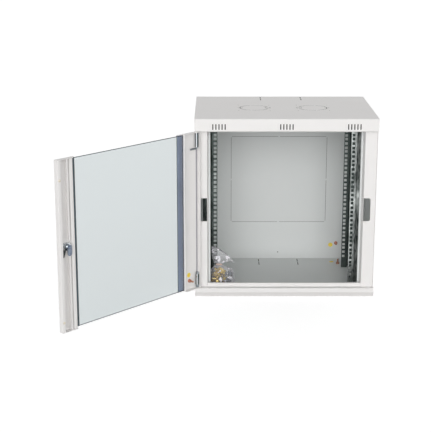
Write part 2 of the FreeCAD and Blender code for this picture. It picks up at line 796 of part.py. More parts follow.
def cabinet_nodes():
    side_panel, post = make_side_panel(), make_post()
    nodes = {
        "top_cover": make_top_cover(),
        "bottom_cover": make_bottom_cover(),
        "back_panel": make_back_panel(),
        "side_panel_right": side_panel,
        "side_panel_left": mirrored(side_panel),
        "header_brace": make_header_brace(),
        "front_post_right": post,
        "front_post_left": mirrored(post),
        "screw_kit_bag": make_bag(),
    }
    for name, rail_depth in (("front", front_rail_depth), ("rear", rear_rail_depth)):
        rail = make_rail(rail_depth)
        nodes[f"rail_{name}_right"], nodes[f"rail_{name}_left"] = rail, mirrored(rail)
    for name, z in (("lower", bar_offset), ("upper", height - bar_offset - bar_height)):
        bar = make_depth_bar(z)
        nodes[f"depth_bar_{name}_right"], nodes[f"depth_bar_{name}_left"] = bar, mirrored(bar)
    nodes["rail_bolts"], nodes["rail_nuts"] = rail_bolt_sets()
    back_point = earth_point(on_back(back_stud), V(0, -1, 0), sheet)
    floor_point = earth_point(on_floor(floor_stud), V(0, 0, 1), sheet)
    for name, point in (("back", back_point), ("floor", floor_point)):
        nodes[f"earth_stud_{name}"] = point[0]
        nodes[f"earth_washer_{name}"] = point[1]
        nodes[f"earth_nut_{name}"] = point[2]
    nodes["earth_label_back"] = label(on_back(back_label), V(0, -1, 0))
    nodes["earth_label_floor"] = label(on_floor(floor_label), V(0, 0, 1))
    return nodes


def door_nodes():
    glass_z = (door_low + glass_drop, door_high - glass_drop)
    tape_in = (sheet, glass_depth)
    stud, washer, nut = earth_point(on_door(door_stud[0], sheet, door_low + door_stud[1]), V(0, 1, 0), sheet)
    upper_barrel_shape, upper_pin, spring = upper_hinge()
    lower_barrel_shape, bush, lower_pin, thrust_washer = lower_hinge()
    housing, sleeve, lock_nut = make_lock()
    return {
        "door_pan_hinge": make_hinge_pan(),
        "door_pan_lock": make_lock_pan(),
        "door_glass": make_glass(),
        "glass_tape_hinge": door_box((glass_start, glass_start + hinge_flange), tape_in, glass_z),
        "glass_tape_lock": door_box((glass_end - lock_flange, glass_end), tape_in, glass_z),
        "glass_strip_lock": make_glass_strip(),
        "door_buffers": make_buffers(),
        "hinge_barrel_upper": upper_barrel_shape,
        "hinge_pin_upper": upper_pin,
        "hinge_spring": spring,
        "hinge_barrel_lower": lower_barrel_shape,
        "hinge_bush_lower": bush,
        "hinge_pin_lower": lower_pin,
        "hinge_washer": thrust_washer,
        "lock_housing": housing,
        "lock_sleeve": sleeve,
        "lock_nut": lock_nut,
        "lock_plug": make_plug(),
        "lock_cam": make_cam(),
        "lock_cam_screw": make_cam_screw(),
        "key_ring": make_key_ring(),
        "key": make_key(),
        "earth_stud_door": stud,
        "earth_washer_door": washer,
        "earth_nut_door": nut,
        "earth_label_door": label(on_door(door_label[0], sheet, door_low + door_label[1]), V(0, 1, 0)),
    }


def main():
    os.makedirs("parts", exist_ok=True)
    nodes = cabinet_nodes()
    for name, shape in door_nodes().items():
        shape.rotate(V(hinge_x, hinge_y, 0), V(0, 0, 1), -door_open)
        nodes[name] = shape
    for name, shape in nodes.items():
        assert shape.isValid() and shape.Volume > 0, name
        shape.exportStep(f"parts/{name}.step")
    print(len(nodes), "nodes")


main()
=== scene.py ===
import json
import math
import random
import bmesh
import bpy
from mathutils import Euler, Matrix, Vector, noise


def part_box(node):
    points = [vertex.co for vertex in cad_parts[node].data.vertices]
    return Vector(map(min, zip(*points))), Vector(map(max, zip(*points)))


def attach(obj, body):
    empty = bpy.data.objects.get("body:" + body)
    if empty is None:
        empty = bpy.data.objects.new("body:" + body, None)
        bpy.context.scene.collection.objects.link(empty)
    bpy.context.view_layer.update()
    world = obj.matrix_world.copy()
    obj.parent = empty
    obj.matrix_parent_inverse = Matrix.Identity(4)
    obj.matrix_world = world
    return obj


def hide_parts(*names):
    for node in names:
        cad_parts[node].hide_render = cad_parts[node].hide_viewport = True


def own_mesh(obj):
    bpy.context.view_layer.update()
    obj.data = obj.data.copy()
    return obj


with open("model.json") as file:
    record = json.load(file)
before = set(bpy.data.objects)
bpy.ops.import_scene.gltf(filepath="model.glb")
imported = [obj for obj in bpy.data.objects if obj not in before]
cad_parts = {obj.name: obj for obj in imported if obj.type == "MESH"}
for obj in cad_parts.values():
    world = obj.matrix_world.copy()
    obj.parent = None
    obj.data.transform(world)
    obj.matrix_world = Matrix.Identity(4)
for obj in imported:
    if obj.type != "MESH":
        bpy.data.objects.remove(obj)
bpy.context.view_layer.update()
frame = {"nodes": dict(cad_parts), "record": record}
nodes = frame["nodes"]
joints = {joint["name"]: joint for joint in frame["record"]["behaviour"]["joints"]}
hinge = joints["door_hinge"]
pinSlide = joints["hinge_pin_slide"]
print("frame loaded:", len(nodes), "nodes")


def linear(hexColour):
    # the linear colour that a socket takes, from its sRGB hex value
    channels = [int(hexColour[i:i + 2], 16) / 255 for i in (1, 3, 5)]
    return [c / 12.92 if c <= 0.04045 else ((c + 0.055) / 1.055) ** 2.4 for c in channels] + [1.0]


def addNode(tree, kind, inputs=None, **settings):
    # each input is a value, or the output that feeds it; a Mix has its share at 0, numbers at 2 and 3,
    # and colours at 6 and 7, with the mixed colour at output 2
    made = tree.nodes.new("ShaderNode" + kind)
    for name, value in settings.items():
        setattr(made, name, value)
    for name, value in (inputs or {}).items():
        if isinstance(value, bpy.types.NodeSocket):
            tree.links.new(value, made.inputs[name])
        else:
            made.inputs[name].default_value = value
    return made


def newMaterial(name):
    made = bpy.data.materials.new(name)
    made.use_nodes = True
    made.node_tree.nodes.clear()
    return made, made.node_tree


def middle(node):
    low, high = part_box(node)
    return Vector([(low[i] + high[i]) / 2 for i in range(3)])


def mergedCopy(node, mergeMm):
    # a part's own mesh is loose triangles, so its copy is joined up first
    shape = bmesh.new()
    shape.from_mesh(nodes[node].data)
    bmesh.ops.remove_doubles(shape, verts=shape.verts, dist=mergeMm / 1000)
    return shape


def thicken(shape, faces, rise):
    raised = bmesh.ops.extrude_face_region(shape, geom=faces)["geom"]
    bmesh.ops.translate(shape, verts=[g for g in raised if isinstance(g, bmesh.types.BMVert)], vec=rise)


def finishPiece(shape, name, body, finish, smooth=False):
    mesh = bpy.data.meshes.new(name)
    bmesh.ops.recalc_face_normals(shape, faces=shape.faces)
    shape.to_mesh(mesh)
    shape.free()
    if smooth:
        mesh.polygons.foreach_set("use_smooth", [True] * len(mesh.polygons))
    mesh.materials.append(finish)
    piece = bpy.data.objects.new(name, mesh)
    bpy.context.scene.collection.objects.link(piece)
    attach(piece, body)
    return piece


def alongDoor(tree, place):
    # metres along the door from its hinge axis, and inward through it, at any opening
    turn = math.radians(hinge["range_deg"][1])
    start = Matrix.Rotation(turn, 3, "Z") @ Vector(hinge["pos_m"])
    turned = addNode(tree, "Mapping", {"Vector": place, "Rotation": (0.0, 0.0, turn), "Location": -start})
    split = addNode(tree, "SeparateXYZ", {0: turned.outputs["Vector"]})
    return split.outputs["X"], split.outputs["Y"]


# polyester powder coat over folded steel: even light grey, satin, with a slight orange peel
powderCoat = {
    "colour": ("#ECEAE9", "#E9E7E5"),
    "inside": ("#E2E4E3", "#DEE1E0"),   # darker and a touch cooler inside the shell: painted shade for the dim inside of the cabinet
    "insideFromMm": 22.0,   # how far behind the front of the posts the painted shade starts
    "skinMm": 0.9,          # less than a sheet, so that the outer faces keep the outer tone
    "cloudMm": 90.0,
    "cloudDetail": 2.0,
    "peelMm": 3.2,          # the real peel is about 1 mm; drawn coarser so that it shows
    "peelDepthMm": 0.5,
    "peelDetail": 3.0,
    "peelBump": 0.05,
    "roughness": 0.42,
    "ior": 1.5,
    # painted shade in the deep corner beside the hinge
    "cornerShadeTone": "#A2A0A6",
    "cornerShadeMm": (-8.5, -0.6, -3.5),     # where the painted shade lies: along the door from and to, and how far inward it reaches
}


def makePowderCoat(name, corner=False):
    material, tree = newMaterial(name)
    place = addNode(tree, "TexCoord").outputs["Object"]
    cloud = addNode(tree, "TexNoise", {
        "Vector": place, "Scale": 1000 / powderCoat["cloudMm"], "Detail": powderCoat["cloudDetail"]})
    coats = []
    for side in ("colour", "inside"):
        first, second = [linear(tone) for tone in powderCoat[side]]
        clouded = addNode(tree, "Mix", {0: cloud.outputs["Fac"], 6: first, 7: second}, data_type="RGBA")
        coats.append(clouded.outputs[2])

    # the painted shade of the interior fills a box just inside the shell
    low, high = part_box("bottom_cover")[0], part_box("top_cover")[1]
    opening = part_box("front_post_left")[0][1] + powderCoat["insideFromMm"] / 1000
    skin = powderCoat["skinMm"] / 1000
    starts = (low[0] + skin, opening, low[2] + skin)
    ends = (high[0] - skin, high[1] - 2 * skin, high[2] - skin)
    split = addNode(tree, "SeparateXYZ", {0: place})
    inPaintedShade = 1.0
    for output, start, end in zip(split.outputs, starts, ends):
        among = addNode(tree, "Math", {
            0: output, 1: (start + end) / 2, 2: (end - start) / 2}, operation="COMPARE")
        inPaintedShade = addNode(tree, "Math", {0: inPaintedShade, 1: among.outputs[0]}, operation="MULTIPLY").outputs[0]
    colour = addNode(tree, "Mix", {0: inPaintedShade, 6: coats[0], 7: coats[1]}, data_type="RGBA")

    if corner:      # painted shade: the deep corner beside the hinge is darkened, where shade gathers
        along, inward = alongDoor(tree, place)
        start, end, reach = [size / 1000 for size in powderCoat["cornerShadeMm"]]
        beside = addNode(tree, "Math", {
            0: along, 1: (start + end) / 2, 2: (end - start) / 2}, operation="COMPARE")
        deep = addNode(tree, "Math", {0: inward, 1: reach}, operation="LESS_THAN")
        paintedCornerShade = addNode(tree, "Math", {0: beside.outputs[0], 1: deep.outputs[0]}, operation="MULTIPLY")
        colour = addNode(tree, "Mix", {
            0: paintedCornerShade.outputs[0], 6: colour.outputs[2], 7: linear(powderCoat["cornerShadeTone"])}, data_type="RGBA")

    peel = addNode(tree, "TexNoise", {
        "Vector": place, "Scale": 1000 / powderCoat["peelMm"], "Detail": powderCoat["peelDetail"]})
    bump = addNode(tree, "Bump", {
        "Height": peel.outputs["Fac"], "Strength": powderCoat["peelBump"],
        "Distance": powderCoat["peelDepthMm"] / 1000})
    shader = addNode(tree, "BsdfPrincipled", {
        "Base Color": colour.outputs[2], "Normal": bump.outputs["Normal"],
        "Roughness": powderCoat["roughness"], "IOR": powderCoat["ior"]})
    addNode(tree, "OutputMaterial", {"Surface": shader.outputs["BSDF"]})
    return material


# zinc plated steel strip, blue passivated: dark green-grey metal with drawn streaks and cloudy passivation;
# each kind has its dark tone, its light tone and its roughness, and the kinds are lit and shaded copies of
# one plating, with light and shade painted for how light falls on each rail
zincPlate = {
    # painted light and shade: the left front rail darkest, painted reflections as light streaks on the right
    # front rail, the left rear rail brightest
    "front": ("#2C3331", "#5A615F", 0.34),
    "streakedWithSheen": ("#4A5250", "#D4D9D7", 0.32),
    "rear": ("#4C5553", "#666E6B", 0.40),
    "bright": ("#B4B9B7", "#DCDFDE", 0.40),
    "shaded": ("#0C0E0D", "#151817", 0.55),     # behind the header, where little light comes
    "plain": ("#6D7472", "#8F9593", 0.42),
    "cloudMm": 60.0,
    "cloudDetail": 3.0,
    "streakMm": 2.4,        # rolling marks are finer than this; drawn so that they show
    "streakDetail": 2.0,
    "streakStretch": 0.12,
    "streakTilt": 32.0,
    "darkAt": 0.14,         # level of streaks times clouds at the dark tone, and at the light one
    "lightAt": 0.38,
    "streakBump": 0.04,
    "streakDepthMm": 0.3,
}


def makeZincPlate(name, kind):
    dark, light, roughness = zincPlate[kind]
    material, tree = newMaterial(name)
    place = addNode(tree, "TexCoord").outputs["Object"]
    turned = addNode(tree, "Mapping", {
        "Vector": place, "Rotation": (0.0, math.radians(zincPlate["streakTilt"]), 0.0),
        "Scale": (1.0, 1.0, zincPlate["streakStretch"])})
    streaks = addNode(tree, "TexNoise", {
        "Vector": turned.outputs["Vector"], "Scale": 1000 / zincPlate["streakMm"],
        "Detail": zincPlate["streakDetail"]})
    cloud = addNode(tree, "TexNoise", {
        "Vector": place, "Scale": 1000 / zincPlate["cloudMm"], "Detail": zincPlate["cloudDetail"]})
    tone = addNode(tree, "Math", {0: streaks.outputs["Fac"], 1: cloud.outputs["Fac"]}, operation="MULTIPLY")
    spread = addNode(tree, "MapRange", {
        "Value": tone.outputs[0], "From Min": zincPlate["darkAt"], "From Max": zincPlate["lightAt"]})
    colour = addNode(tree, "Mix", {0: spread.outputs[0], 6: linear(dark), 7: linear(light)}, data_type="RGBA")
    bump = addNode(tree, "Bump", {
        "Height": streaks.outputs["Fac"], "Strength": zincPlate["streakBump"],
        "Distance": zincPlate["streakDepthMm"] / 1000})
    shader = addNode(tree, "BsdfPrincipled", {
        "Base Color": colour.outputs[2], "Metallic": 1.0,
        "Normal": bump.outputs["Normal"], "Roughness": roughness})
    addNode(tree, "OutputMaterial", {"Surface": shader.outputs["BSDF"]})
    return material


# small parts, plated, cast or moulded: light tone, dark tone, metallic, roughness, size of the mottle in mm
smallParts = {
    "brightZinc": ("#A9B0B4", "#8C9398", 1.0, 0.22, 5.0),       # barrel plating: bright and cool
    "camZinc": ("#8C96A6", "#6F7886", 1.0, 0.32, 4.0),          # zinc die casting: blue-grey, a little dull
    "chromePlate": ("#DADEE0", "#C4CACE", 1.0, 0.07, 8.0),      # nickel chrome: mirror with clean edges
    "copperPlate": ("#DDAE9A", "#9A6A58", 1.0, 0.28, 3.0),      # copper flash on steel, brown from handling
    "yellowVinyl": ("#FBE662", "#F0D244", 0.0, 0.38, 6.0),      # printed vinyl film, slightly glossy
    "siliconeBuffer": ("#E9E2D2", "#D8CFBC", 0.0, 0.30, 2.0),   # clear silicone dome, warm by its adhesive
    "keyPlastic": ("#4A4E4D", "#363A39", 0.0, 0.45, 2.5),       # moulded nylon with a fine spark texture
    "yellowZinc": ("#EBD68A", "#A98A3E", 0.8, 0.30, 3.0),       # yellow passivation: gold with brown shades
    "plainSteel": ("#DCDFE2", "#9FA5A9", 1.0, 0.26, 3.0),       # spring steel: light, with dull patches
    "blackWasher": ("#26282A", "#17191B", 0.0, 0.50, 2.0),      # moulded black nylon, dull
    "tieBand": ("#E8CDBE", "#D6B4A2", 0.0, 0.45, 2.0),          # rubber band, pale and dull
    "backCutShade": ("#8F8F8B", "#81817D", 0.0, 0.80, 4.0),     # painted shade in a narrow laser cut, lighter as lit from behind
    "cutShade": ("#55544F", "#474642", 0.0, 0.80, 4.0),         # painted shade in a bare laser cut, seen into its depth
}
mottle = {
    "detail": 3.0,
    "darkAt": 0.35,         # level of the noise at the dark tone, and at the light one
    "lightAt": 0.65,
    "glossSpread": 0.25,    # how much duller than the mean the lowest level is, and glossier the highest
    "bump": 0.03,
    "depthMm": 0.2,
}


def makeSmallPart(name):
    light, dark, metallic, roughness, mottleMm = smallParts[name]
    material, tree = newMaterial(name)
    place = addNode(tree, "TexCoord").outputs["Object"]
    level = addNode(tree, "TexNoise", {
        "Vector": place, "Scale": 1000 / mottleMm, "Detail": mottle["detail"]}).outputs["Fac"]
    spread = addNode(tree, "MapRange", {
        "Value": level, "From Min": mottle["darkAt"], "From Max": mottle["lightAt"]})
    colour = addNode(tree, "Mix", {0: spread.outputs[0], 6: linear(dark), 7: linear(light)}, data_type="RGBA")
    dull = addNode(tree, "MapRange", {
        "Value": level, "To Min": roughness * (1 + mottle["glossSpread"]),
        "To Max": roughness * (1 - mottle["glossSpread"])})
    bump = addNode(tree, "Bump", {
        "Height": level, "Strength": mottle["bump"], "Distance": mottle["depthMm"] / 1000})
    shader = addNode(tree, "BsdfPrincipled", {
        "Base Color": colour.outputs[2], "Metallic": metallic,
        "Roughness": dull.outputs[0], "Normal": bump.outputs["Normal"]})
    addNode(tree, "OutputMaterial", {"Surface": shader.outputs["BSDF"]})
    return material


# 4 mm toughened float glass: nearly clear with a cold green-grey tint that gathers at the ground edges
glass = {
    "tint": "#D3D9DA",
    "edge": "#39454A",
    "edgeMm": 2.0,
    "ior": 1.5,
}


def makeGlass():
    material, tree = newMaterial("toughenedFloatGlass")
    low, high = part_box("door_glass")
    place = addNode(tree, "TexCoord").outputs["Object"]
    rise = addNode(tree, "SeparateXYZ", {0: place}).outputs["Z"]
    inside = addNode(tree, "Math", {
        0: rise, 1: (low[2] + high[2]) / 2,
        2: (high[2] - low[2]) / 2 - glass["edgeMm"] / 1000}, operation="COMPARE")
    colour = addNode(tree, "Mix", {
        0: inside.outputs[0], 6: linear(glass["edge"]), 7: linear(glass["tint"])}, data_type="RGBA")
    shader = addNode(tree, "BsdfPrincipled", {
        "Base Color": colour.outputs[2], "Roughness": 0.0, "IOR": glass["ior"], "Transmission Weight": 1.0})
    addNode(tree, "OutputMaterial", {"Surface": shader.outputs["BSDF"]})
    return material


# foam bonding tape behind a printed border: blue-grey, dark along both edges; the lock tape is the same tape
# in darker tones, painted shade
tape = {
    "hinge": ("#B4C0DD", "#9FAAC9", "#565470", "#5E7478"),  # middle, its shade, hinge side edge, far edge
    # painted shade: the same tape as at the hinge, in darker tones
    "lock": ("#66808F", "#5A7482", "#3E5560", "#45606C"),
    "edgeMm": 2.4,
    "cloudMm": 120.0,
    "cloudDetail": 2.0,
    "roughness": 0.5,
}


def makeTape(node, name, tones):
    plain, shade, nearTone, farTone = [linear(tone) for tone in tones]
    material, tree = newMaterial(name)
    place = addNode(tree, "TexCoord").outputs["Object"]
    along = alongDoor(tree, place)[0]
    cloud = addNode(tree, "TexNoise", {
        "Vector": place, "Scale": 1000 / tape["cloudMm"], "Detail": tape["cloudDetail"]})
    colour = addNode(tree, "Mix", {0: cloud.outputs["Fac"], 6: plain, 7: shade}, data_type="RGBA")
    axis = Vector(hinge["pos_m"][:2])
    low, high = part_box(node)
    reach = [(Vector((x, y)) - axis).length for x in (low[0], high[0]) for y in (low[1], high[1])]
    border = tape["edgeMm"] / 1000
    for limit, side, tone in ((min(reach) + border, "LESS_THAN", nearTone),
                              (max(reach) - border, "GREATER_THAN", farTone)):
        edge = addNode(tree, "Math", {0: along, 1: limit}, operation=side)
        colour = addNode(tree, "Mix", {0: edge.outputs[0], 6: colour.outputs[2], 7: tone}, data_type="RGBA")
    shader = addNode(tree, "BsdfPrincipled", {
        "Base Color": colour.outputs[2], "Roughness": tape["roughness"]})
    addNode(tree, "OutputMaterial", {"Surface": shader.outputs["BSDF"]})
    return material


# hinge barrel rolled from zinc plated strip: painted highlight along its crown and painted dark reflection on
# its flanks
barrel = {
    "highlightBand": "#EEF1F2",
    "shadedFlank": "#3F4B50",
    "highlightHalfMm": 1.1,         # half the width of the painted highlight
    "fadeMm": 1.3,          # from its edge to the full flank tone
    "highlightFromAxisMm": -0.8,
    "roughness": 0.2,
}


def makeBarrel():
    material, tree = newMaterial("rolledZincBarrelHighlight")
    place = addNode(tree, "TexCoord").outputs["Object"]
    sideways = addNode(tree, "SeparateXYZ", {0: place}).outputs["X"]
    highlightBand = middle("hinge_barrel_upper").x + barrel["highlightFromAxisMm"] / 1000
    offset = addNode(tree, "Math", {0: sideways, 1: highlightBand}, operation="SUBTRACT")
    aside = addNode(tree, "Math", {0: offset.outputs[0]}, operation="ABSOLUTE")
    dull = addNode(tree, "MapRange", {
        "Value": aside.outputs[0], "From Min": barrel["highlightHalfMm"] / 1000,
        "From Max": (barrel["highlightHalfMm"] + barrel["fadeMm"]) / 1000})
    colour = addNode(tree, "Mix", {
        0: dull.outputs[0], 6: linear(barrel["highlightBand"]), 7: linear(barrel["shadedFlank"])}, data_type="RGBA")
    shader = addNode(tree, "BsdfPrincipled", {
        "Base Color": colour.outputs[2], "Metallic": 1.0, "Roughness": barrel["roughness"]})
    addNode(tree, "OutputMaterial", {"Surface": shader.outputs["BSDF"]})
    return material


# clear polythene film, 50 micron: seen mostly at its folds, where it turns milky and shines, partly by
# painted white glints
film = {
    "colour": "#ECEAF0",
    "clear": 0.10,          # cover of the film seen flat on, and seen along it
    "fold": 0.66,
    "facingBlend": 0.45,
    "roughness": 0.12,
    "crinkleMm": 9.0,
    "crinkleDetail": 4.0,
    "crinkleTwist": 1.2,
    "crinkleBump": 0.9,
    "crinkleDepthMm": 3.0,
    "creaseGlintMm": 13.0,
    "creaseGlintDetail": 1.0,
    "creaseGlintFrom": 0.61,     # between these levels of the noise the film turns white: where it lies double, and as painted glints
    "creaseGlintTo": 0.68,
}


def makeFilm():
    material, tree = newMaterial("clearPolytheneFilm")
    place = addNode(tree, "TexCoord").outputs["Object"]
    crinkle = addNode(tree, "TexNoise", {
        "Vector": place, "Scale": 1000 / film["crinkleMm"], "Detail": film["crinkleDetail"],
        "Distortion": film["crinkleTwist"]})
    bump = addNode(tree, "Bump", {
        "Height": crinkle.outputs["Fac"], "Strength": film["crinkleBump"],
        "Distance": film["crinkleDepthMm"] / 1000})
    slant = addNode(tree, "LayerWeight", {"Blend": film["facingBlend"], "Normal": bump.outputs["Normal"]})
    cover = addNode(tree, "MapRange", {
        "Value": slant.outputs["Facing"], "To Min": film["clear"], "To Max": film["fold"]})
    creaseGlint = addNode(tree, "TexNoise", {
        "Vector": place, "Scale": 1000 / film["creaseGlintMm"], "Detail": film["creaseGlintDetail"]})
    doubledAndGlint = addNode(tree, "MapRange", {
        "Value": creaseGlint.outputs["Fac"], "From Min": film["creaseGlintFrom"], "From Max": film["creaseGlintTo"]})
    cover = addNode(tree, "Math", {0: cover.outputs[0], 1: doubledAndGlint.outputs[0]}, operation="MAXIMUM")
    shader = addNode(tree, "BsdfPrincipled", {
        "Base Color": linear(film["colour"]), "Roughness": film["roughness"],
        "Alpha": cover.outputs[0], "Normal": bump.outputs["Normal"]})
    addNode(tree, "OutputMaterial", {"Surface": shader.outputs["BSDF"]})
    return material


finishes = {
    "grey_powder_coat": makePowderCoat("satinPowderCoat"),
    "zinc_plated_steel": makeZincPlate("zincPlatedSteel", "plain"),
    "bright_zinc": makeSmallPart("brightZinc"),
    "yellow_label": makeSmallPart("yellowVinyl"),
    "copper_plated_steel": makeSmallPart("copperPlate"),
    "tempered_glass": makeGlass(),
    "clear_rubber": makeSmallPart("siliconeBuffer"),
    "cam_zinc": makeSmallPart("camZinc"),
    "key_dark_plastic": makeSmallPart("keyPlastic"),
    "nickel_chrome": makeSmallPart("chromePlate"),
    "clear_polythene": makeFilm(),
}
ownFinish = {
    # the rails and the brace take zinc tones painted for how light falls on each
    "rail_front_right": makeZincPlate("zincFrontRailRight", "streakedWithSheen"),
    "rail_front_left": makeZincPlate("zincFrontRailLeft", "front"),
    "rail_rear_right": makeZincPlate("zincRearRailRight", "rear"),
    "rail_rear_left": makeZincPlate("zincRearRailLeft", "bright"),
    "header_brace": makeZincPlate("zincHeaderBrace", "shaded"),
    "door_pan_hinge": makePowderCoat("hingePanCoatShadedCorner", corner=True),
    "hinge_barrel_upper": makeBarrel(),
    "hinge_barrel_lower": makeBarrel(),
    "glass_tape_hinge": makeTape("glass_tape_hinge", "hingeTape", tape["hinge"]),
    "glass_tape_lock": makeTape("glass_tape_lock", "lockTapeShaded", tape["lock"]),
}
for entry in frame["record"]["subparts"]:
    part = nodes[entry["node"]]
    part.data.materials.clear()
    part.data.materials.append(ownFinish.get(entry["node"]) or finishes[entry["material_slot"]])
print("finishes on")

# the cuts round the knock-outs are narrow and deep, so they are filled with a dark web of painted shade that
# hides what lies behind; the fold line of the cable flap is filled with paint
cuts = {
    "shadeMm": 0.8,         # thinner than the sheet, so that the shade lies below both faces
    "sheetMm": 1.2,
    "paintBackMm": 0.02,    # the paint in a fold line is this much thinner than the sheet
    "openHolesMm": (8.0, 14.0),     # the wall fixing holes stay open
    "foldLineMm": (30.0, 6.0),      # longer than this across the cover, and narrower than this the other way
    "mergeMm": 0.01,
    "planeMm": 0.0001,
}


def spanOf(loop, axis):
    reach = [v.co[axis] for e in loop for v in e.verts]
    return (max(reach) - min(reach)) * 1000


def cutOutlines(node, normal, level):
    # a section through the sheet, as one list of edges for each cut in it
    cover = mergedCopy(node, cuts["mergeMm"])
    bmesh.ops.bisect_plane(cover, geom=cover.verts[:] + cover.edges[:] + cover.faces[:],
                           plane_co=normal * level, plane_no=normal, dist=cuts["planeMm"] / 1000,
                           clear_inner=True, clear_outer=True)
    bmesh.ops.delete(cover, geom=cover.faces[:], context="FACES_ONLY")
    left = set(cover.edges)
    outlines = []
    while left:
        loop = []
        ends = [left.pop()]
        while ends:
            edge = ends.pop()
            loop.append(edge)
            joined = [e for v in edge.verts for e in v.link_edges if e in left]
            left.difference_update(joined)
            ends += joined
        outlines.append(loop)
    outlines.sort(key=lambda loop: max(spanOf(loop, i) for i in range(3)))
    return cover, outlines[:-1]         # the last is the sheet's own outline


def fillCuts(node, axis, side, name, thickMm, finish, wanted):
    normal = Vector([float(i == axis) for i in range(3)])
    half = cuts["sheetMm"] / 2000
    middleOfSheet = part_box(node)[side][axis] + (-half if side else half)
    cover, outlines = cutOutlines(node, normal, middleOfSheet)
    chosen = [loop for loop in outlines if wanted(loop)]
    for loop in chosen:
        bmesh.ops.contextual_create(cover, geom=loop)
    bmesh.ops.delete(cover, geom=[e for e in cover.edges if not e.link_faces], context="EDGES")
    thicken(cover, cover.faces[:], normal * thickMm / 1000)
    bmesh.ops.translate(cover, verts=cover.verts, vec=-normal * thickMm / 2000)
    print(name, len(chosen), "cuts filled")
    return finishPiece(cover, name, "cabinet", finish)


def isFoldLine(loop):
    length, width = cuts["foldLineMm"]
    return spanOf(loop, 0) > length and spanOf(loop, 1) < width


def isKnockOut(loop):
    return not isFoldLine(loop)


def isBackCut(loop):
    smallest, largest = cuts["openHolesMm"]
    return not smallest < max(spanOf(loop, 0), spanOf(loop, 2)) < largest


coat = finishes["grey_powder_coat"]
coverShade = makeSmallPart("cutShade")
backShade = makeSmallPart("backCutShade")
for node, side in (("top_cover", 1), ("bottom_cover", 0)):      # side 1 is the higher one along the axis
    fillCuts(node, 2, side, "cut_shade_" + node, cuts["shadeMm"], coverShade, isKnockOut)
    fillCuts(node, 2, side, "fold_line_" + node, cuts["sheetMm"] - cuts["paintBackMm"], coat, isFoldLine)
fillCuts("back_panel", 1, 1, "cut_shade_back_panel", cuts["shadeMm"], backShade, isBackCut)

# the coil spring as a joined-up piece that rides with the door, in place of the part's own; the height of its
# foot, on the floor of the barrel's chamber, is read from the joint
spring = {"mergeMm": 0.001}
coilSpring = finishPiece(mergedCopy("hinge_spring", spring["mergeMm"]), "hinge_spring_coil", "door",
                         finishes["bright_zinc"], smooth=True)
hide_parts("hinge_spring")
springFoot = middle("hinge_spring")
springFoot.z = pinSlide["deforming_nodes"][0]["fixed_end_z_m"]
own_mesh(coilSpring)
print("spring made")

# bag with the fixing kit: polythene tied off above the hardware, its mouth fanned out over the tie
bag = {
    "rings": (              # height, shift right, shift back, width, depth: mm from the middle of the foot
        (0.6, 0, 0, 62, 34),
        (3, 0, 0, 78, 44),
        (14, -1, 0, 88, 53),
        (28, -1, 0, 89, 55),
        (46, -3, 0, 84, 52),
        (62, -2, 1, 84, 48),
        (76, -4, 1, 76, 42),
        (86, -9, 2, 50, 26),
        (92, -13, 2, 17, 11),
        (98, -9, 2, 36, 13),
        (110, -4, 2, 64, 14),
        (128, -1, 2, 74, 11),
        (156, -1, 2, 76, 7),
    ),
    "segments": 56,
    "divideMm": 6.0,        # an edge that rises more than this is cut in three
    "tieMm": 92.0,          # height of the ring that the band draws in
    "gatherMm": 30.0,       # over this height above the tie the sag gives way to the pleats
    "sagMm": 3.2,
    "sagFrom": 0.6,         # level of the noise below which the film sinks in
    "crumpleMm": 16.0,
    "fineCrumple": (2.3, 0.5),      # how much finer the small crumples are, and how strong
    "mouthMm": 70.0,
    "pleats": 7,
    "pleatMm": 1.5,
    "pleatWander": 2.0,     # how far the crumples bend the pleats
    "crestDropMm": 40.0,    # the mouth slopes down from its left corner to its right one
    "crestPower": 1.5,      # above 1, it falls faster towards the right
    "crestRiseMm": 50.0,    # height above the tie at which the right corner drops by crestDropMm
    "proudMm": 6.0,         # how far the loose mouth may stand above the solid
}


def acrossMouth(place, foot):
    # from -0.5 at the mouth's left corner to 0.5 at its right one
    return (place.x - foot.x) * 1000 / bag["mouthMm"]


